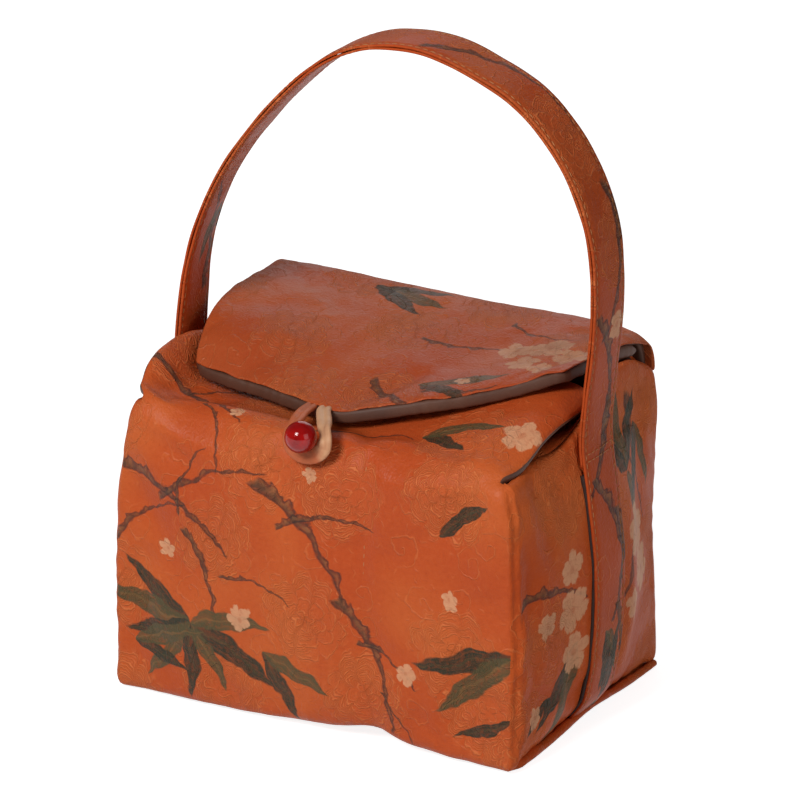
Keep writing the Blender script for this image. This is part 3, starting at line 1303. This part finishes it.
# %% Strap path
HALF_STRAP = 12.5 * MM
STRAP_BOTTOM, STRAP_PIVOT, TAIL_STEPS = 5 * MM, 112 * MM, 14
ARCH_POINTS = (
    (-93.6, 125), (-93.2, 134), (-92.2, 148.3), (-89.9, 166.2), (-84.2, 186.8), (-73.0, 210.2),
    (-57.4, 231.9), (-39.4, 251.5), (-23.6, 264.6), (-9.4, 271.8), (3.8, 275.0), (18.0, 275.8),
    (30, 274), (44, 269.4), (61.4, 261.4), (76.6, 248.2), (87.4, 233.1), (94.6, 216.8),
    (98.0, 201.8), (99.0, 182.1), (98.1, 165.2), (95.8, 144), (94.4, 125))


def side_point(side, height, y):
    """Point of the side wall's cloth at a height above the floor."""
    girth = side * (FRONT_FLAT + CORNER_RUN + SIDE_FLAT + y)
    foot = 2.6 * MM + base_lift(HALF_WIDTH, y)
    share = (height - foot) / (rim_height(HALF_WIDTH, y) - foot)
    return wall_point(girth, limit(share))


def tail_path(side):
    """Middle line of a strap tail from its lower end up to the pivot."""
    points = []
    for step in range(TAIL_STEPS):
        height = STRAP_BOTTOM + (STRAP_PIVOT - STRAP_BOTTOM) * step / (TAIL_STEPS - 1)
        across = max(abs(side_point(side, height, y).x) for y in (-9 * MM, 0, 9 * MM))
        away = (0.3 + 1.6 * ease((height - STRAP_BOTTOM) / (12 * MM))) * MM
        points.append(Vector((side * (across + away), 0, height)))
    return points


arch_path = [Vector((x * MM, 0, z * MM)) for x, z in ARCH_POINTS]
strap_line = tail_path(-1) + arch_path + tail_path(1)[::-1]
lengths = [0.0]
for first, second in zip(strap_line, strap_line[1:]):
    lengths.append(lengths[-1] + (second - first).length)
STRAP_LENGTH = lengths[-1]
STRAP_STEP = 1.5 * MM
marks = [STRAP_STEP * step for step in range(math.ceil(STRAP_LENGTH / STRAP_STEP) + 1)]
strap_places = [path_point(lengths, strap_line, mark) for mark in marks]
print("strap length in mm:", round(STRAP_LENGTH / MM))


def strap_middle(distance):
    """Point on the strap's middle line and its outward direction."""
    step = limit(int(distance / STRAP_STEP), 0, len(marks) - 2)
    share = distance / STRAP_STEP - step
    here = strap_places[step].lerp(strap_places[step + 1], share)

    def heading(at):
        first, second = max(at - 1, 0), min(at + 1, len(marks) - 1)
        return (strap_places[second] - strap_places[first]).normalized()

    forward = heading(step).lerp(heading(step + 1), share)
    return here, forward.cross(Vector((0, 1, 0))).normalized()


STITCH_INSET = 1.8 * MM
STRAP_TWIST = math.radians(-8.5)


def strap_point(distance, across, offset):
    """Point on a face of the strap: along it, across it and out from its middle."""
    here, outward = strap_middle(distance)
    edge = abs(across)
    groove = 0.35 * MM * hill(HALF_STRAP - STITCH_INSET - edge, 0.7 * MM)
    crown = 0.5 * MM * (1 - (edge / HALF_STRAP) ** 4)
    sway = 0.5 * MM * ripple(Vector((distance, 0, 0)), 60 * MM, 2.9)
    wave = 0.25 * MM * ripple(Vector((distance, across, 0)), 11 * MM, 9.2)
    rise = (crown - groove + wave) * (1 if offset >= 0 else -1)
    twist = STRAP_TWIST * hill(distance - 190 * MM, 60 * MM)
    turned = Vector((across * math.sin(twist), across * math.cos(twist) + sway, 0))
    return here + outward * (offset + rise) + turned


def strap_layer(name, start, finish, near, far, material):
    """One layer of the strap between two distances along it."""
    def flat(s, t):
        return start + (finish - start) * t, (2 * s - 1) * HALF_STRAP

    work = bmesh.new()
    rows = round((finish - start) / (2.6 * MM))
    cloth_grid(work, 26, rows, lambda s, t: strap_point(*flat(s, t), far), flat, turned=far > 0)
    return finish_piece(name, work, [material], thickness=abs(far - near))


print("arch of the strap in mm:", [round(lengths[at] / MM) for at in (TAIL_STEPS, -TAIL_STEPS)])
ARCH_START = lengths[TAIL_STEPS - 1] + 2 * MM
ARCH_FINISH = lengths[len(strap_line) - TAIL_STEPS] - 2 * MM
NEAR, FACE, TAIL_BACK = 0.2 * MM, 1.1 * MM, -1.5 * MM
strap_outer = strap_layer("strap_outer", 0, STRAP_LENGTH, NEAR, FACE, STRAP_SATIN)
strap_inner = strap_layer("strap_inner", ARCH_START, ARCH_FINISH, -NEAR, -FACE, STRAP_SATIN)
tail_fold = join_pieces("tail_fold", [
    strap_layer(name, start, finish, NEAR, TAIL_BACK, TAIL_SHADE)
    for name, start, finish in (("left_tail_fold", 0, ARCH_START - 3 * MM),
                                ("right_tail_fold", ARCH_FINISH + 3 * MM, STRAP_LENGTH))])
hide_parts("handle_face", "handle_core", "left_strap_tail", "right_strap_tail")
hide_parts("handle_back")
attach(tail_fold, "bag")
for layer in (strap_outer, strap_inner):
    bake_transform(layer)

# %% [markdown]
# ## The stitches
# Each stitch is a short rounded stick of thread that dips into the cloth at both ends. One is
# made and copied along the strap's edges.

# %% Make the stitches
STITCH_PITCH, STITCH_LENGTH = 3.4 * MM, 2.4 * MM
CROSS_PITCH, CROSS_HALF = 3 * MM, 1.1 * MM
ON_FACE = 1.2 * MM
thread_stick = bmesh.new()
bmesh.ops.create_uvsphere(thread_stick, u_segments=6, v_segments=5, radius=1)
STITCH = bpy.data.meshes.new("stitch")
thread_stick.to_mesh(STITCH)
thread_stick.free()


def add_stitch(work, start, finish, up, radius=0.23 * MM):
    """One stitch between two points, half sunk in the cloth."""
    run = finish - start
    along, side = run.normalized(), up.cross(run).normalized()
    turn = Matrix((side, along.cross(side), along)).transposed().to_4x4()
    place = Matrix.Translation((start + finish) / 2 + up * radius * 0.3) @ turn
    place = place @ Matrix.Diagonal((radius, radius, run.length / 2, 1))
    STITCH.transform(place)
    work.from_mesh(STITCH)
    STITCH.transform(place.inverted())


stitches = bmesh.new()
RUNS = {1: (6 * MM, STRAP_LENGTH - 6 * MM), -1: (ARCH_START + 2 * MM, ARCH_FINISH - 2 * MM)}
for edge in (STITCH_INSET - HALF_STRAP, HALF_STRAP - STITCH_INSET):
    for face, (first, last) in RUNS.items():
        for step in range(int((last - first) / STITCH_PITCH)):
            begin = first + step * STITCH_PITCH
            add_stitch(stitches, strap_point(begin, edge, face * ON_FACE),
                       strap_point(begin + STITCH_LENGTH, edge, face * ON_FACE),
                       strap_middle(begin)[1] * face)
for along in (117 * MM, 114 * MM):
    for middle in (along, STRAP_LENGTH - along):
        for step in range(-3, 4):
            across = step * CROSS_PITCH
            add_stitch(stitches, strap_point(middle, across - CROSS_HALF, ON_FACE),
                       strap_point(middle, across + CROSS_HALF, ON_FACE), strap_middle(middle)[1])
print("strap stitches:", len(stitches.verts) // len(STITCH.vertices))
strap_stitches = finish_piece("strap_stitches", stitches, [THREAD])
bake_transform(strap_stitches)

# %% Quilting stitches on the front
def quilt_point(height):
    """Point on the quilting line of the front at a height."""
    foot = 0.4 * MM + base_lift(QUILT_X, -HALF_DEPTH)
    return wall_point(QUILT_X, (height - foot) / (rim_height(QUILT_X, -HALF_DEPTH) - foot))


quilting = bmesh.new()
for step in range(13):
    height = (74 + step * 3.6) * MM
    add_stitch(quilting, quilt_point(height), quilt_point(height + 2.0 * MM), Vector((0, -1, 0)),
               0.24 * MM)
front_quilting = finish_piece("front_quilting", quilting, [THREAD])
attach(front_quilting, "bag")

# %% [markdown]
# ## Bead and loop
# A round polished bead sits on the front fold. A narrow folded strip of cloth comes from the
# lid's point and goes round the bead.

# %% Make the bead and the loop
BEAD_CENTRE = Vector((1.4 * MM, -HALF_DEPTH - 7.8 * MM, FOLD_HEIGHT + 3.6 * MM))
BEAD_RADIUS = 6.5 * MM
bead = bmesh.new()
bmesh.ops.create_uvsphere(bead, u_segments=48, v_segments=32, radius=BEAD_RADIUS,
                          matrix=Matrix.Translation(BEAD_CENTRE))
bead_ball = finish_piece("bead_ball", bead, [BEAD_RED])
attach(bead_ball, "bag")
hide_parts("bead")

LOOP_PLACES = (
    (-4.4, -41.0, 131.2), (-3.4, -46.5, 132.0), (1.6, -55.0, 131.8), (6.6, -63.0, 131.2),
    (9.4, -68.0, 128.8), (9.0, -69.2, 125.2), (5.4, -69.4, 122.2), (0.5, -69.4, 121.2),
    (-4.2, -69.2, 122.6), (-6.4, -68.6, 126.4), (-6.8, -66.0, 130.2), (-8.0, -60.0, 131.6),
    (-9.8, -52.0, 132.0), (-11.4, -41.0, 131.2))
loop_line = [Vector(place) * MM for place in LOOP_PLACES]
loop_steps = list(range(len(loop_line)))


def loop_middle(at):
    """Point on the loop's middle line."""
    return path_point(loop_steps, loop_line, at)


def loop_point(s, t):
    """Point on the loop's flat section: a strip folded to two ridges, broader under the bead."""
    last = loop_steps[-1]
    at = t * last
    here = loop_middle(at)
    ahead, behind = loop_middle(min(at + 0.1, last)), loop_middle(max(at - 0.1, 0))
    forward = (ahead - behind).normalized()
    low = ease((FOLD_HEIGHT + 3 * MM - here.z) / (8 * MM))
    half = (2.9 + 0.3 * low + 0.2 * ease((here.x + 5 * MM) / (6 * MM))) * MM
    over_edge = ease((-HALF_DEPTH + 9 * MM - here.y) / (9 * MM))
    facing = Vector((0, -0.25, 1)).lerp(Vector((0, -1, 0.1)), over_edge)
    wide = forward.cross(facing).normalized()
    thin = wide.cross(forward).normalized()
    turn = 2 * math.pi * s
    ridge = 1 - 0.55 * hill(math.cos(turn), 0.26) * (1 - low * 0.7)
    wrinkle = 0.25 * MM * ripple(here + wide * math.cos(turn) * MM, 3 * MM, 1.9)
    return (here + wide * half * math.cos(turn)
            + thin * (1.3 * MM * ridge + wrinkle) * squared(math.sin(turn), 0.7))


loop = bmesh.new()
cloth_grid(loop, 28, 110, loop_point, lambda s, t: (s * 10 * MM, t * 60 * MM))
close_tube(loop, 0.01 * MM)
bead_loop = finish_piece("bead_loop", loop, [LOOP_CLOTH])
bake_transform(bead_loop)
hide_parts("closing_loop")

# %% [markdown]
# ## Parts kept from the CAD model
# The bead's thread shank has the right shape already, so it only gets its thread material.

# %% Finish the kept part
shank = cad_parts["bead_shank"]
shank.data.materials.clear()
shank.data.materials.append(THREAD)
print("kept from the CAD model:", shank.name)

# %% [markdown]
# ## Floor, light and camera
# The photograph has a white ground and soft light from the upper left. A large lamp gives that
# light, a weaker one fills the right side, one behind gives the satin its sheen, and floor and
# sky look white only to the camera. The sky stays dim for gloss, because satin would turn hazy
# under it.

# %% Floor and world
def pale_floor():
    """Pale floor that shows as white to the camera away from the shadow."""
    work = bmesh.new()
    bmesh.ops.create_grid(work, x_segments=1, y_segments=1, size=3.0)
    material, shader, wire = start_material("pale_floor")
    grain = wire.node("ShaderNodeTexNoise", None, {"Scale": 4.0})
    tone = mix_colour(grain, (0.60, 0.60, 0.60, 1), (0.62, 0.62, 0.62, 1))
    seen = wire.node("ShaderNodeLightPath", None, None, "Is Camera Ray")
    lit = (seen + seen.other("Is Glossy Ray") + seen.other("Is Transmission Ray")).held()
    glow = mix_colour(lit, (0, 0, 0, 1), (0.86, 0.86, 0.86, 1))
    join_shader(wire, shader, Base_Color=tone, Emission_Color=glow, Emission_Strength=1.0,
                Roughness=0.9)
    floor = finish_piece("floor", work, [material])


pale_floor()
SKY_FILL = 0.12
world = bpy.data.worlds.new("studio")
world.use_nodes = True
bpy.context.scene.world = world
sky = Wire(world.node_tree)
seen = sky.node("ShaderNodeLightPath", None, None, "Is Camera Ray")
strength = seen.math("MAXIMUM", seen.other("Is Transmission Ray")) * (1 - SKY_FILL) + SKY_FILL
join_shader(sky, world.node_tree.nodes["Background"], Color=(1, 1, 1, 1), Strength=strength)
print("light of the sky on the bag:", SKY_FILL)


# %% Lamps
def soft_lamp(name, place, size, power):
    """A square area lamp aimed at the bag."""
    lamp_data = bpy.data.lights.new(name, "AREA")
    lamp_data.size = size
    lamp_data.energy = power
    lamp = bpy.data.objects.new(name, lamp_data)
    lamp.location = place
    aim = Vector((0, 0, 0.12)) - Vector(place)
    lamp.rotation_euler = aim.to_track_quat("-Z", "Y").to_euler()
    bpy.context.scene.collection.objects.link(lamp)
    print(name, "lamp of", power, "W")


soft_lamp("key", (-0.14, -1.28, 1.10), 0.5, 18.0)
soft_lamp("side", (1.25, -0.45, 0.55), 0.8, 3.6)
soft_lamp("sheen", (-0.45, 1.25, 0.75), 0.9, 3.2)

# %% Camera
# The photograph is 800 pixels square. The fit gave a lens of 5930 pixels and this middle.
FRAME, LENS, MIDDLE_X, MIDDLE_Y, SENSOR = 800, 5930, 388.6, 392.3, 36
camera_data = bpy.data.cameras.new("camera")
camera = bpy.data.objects.new("camera", camera_data)
bpy.context.scene.collection.objects.link(camera)
bpy.context.scene.camera = camera
AZIMUTH, ELEVATION, DISTANCE = math.radians(29.33), math.radians(20.62), 2.4
TARGET = Vector((0, 0, 0.125))
back = Vector((math.sin(AZIMUTH) * math.cos(ELEVATION), -math.cos(AZIMUTH) * math.cos(ELEVATION),
               math.sin(ELEVATION)))
camera.location = TARGET + back * DISTANCE
camera.rotation_euler = (-back).to_track_quat("-Z", "Y").to_euler()
camera_data.sensor_width = SENSOR
camera_data.lens = SENSOR * LENS / FRAME
camera_data.shift_x = (FRAME / 2 - MIDDLE_X) / FRAME
camera_data.shift_y = (MIDDLE_Y - FRAME / 2) / FRAME
camera_data.clip_end = 20
print("camera at", [round(value, 3) for value in camera.location])

# %% [markdown]
# ## Colour and the end
# The view transform is Standard, so a colour shows as it is written. The sizes of the CAD model
# and of the dressed model are written down side by side.

# %% Finish
bpy.context.scene.view_settings.view_transform = "Standard"
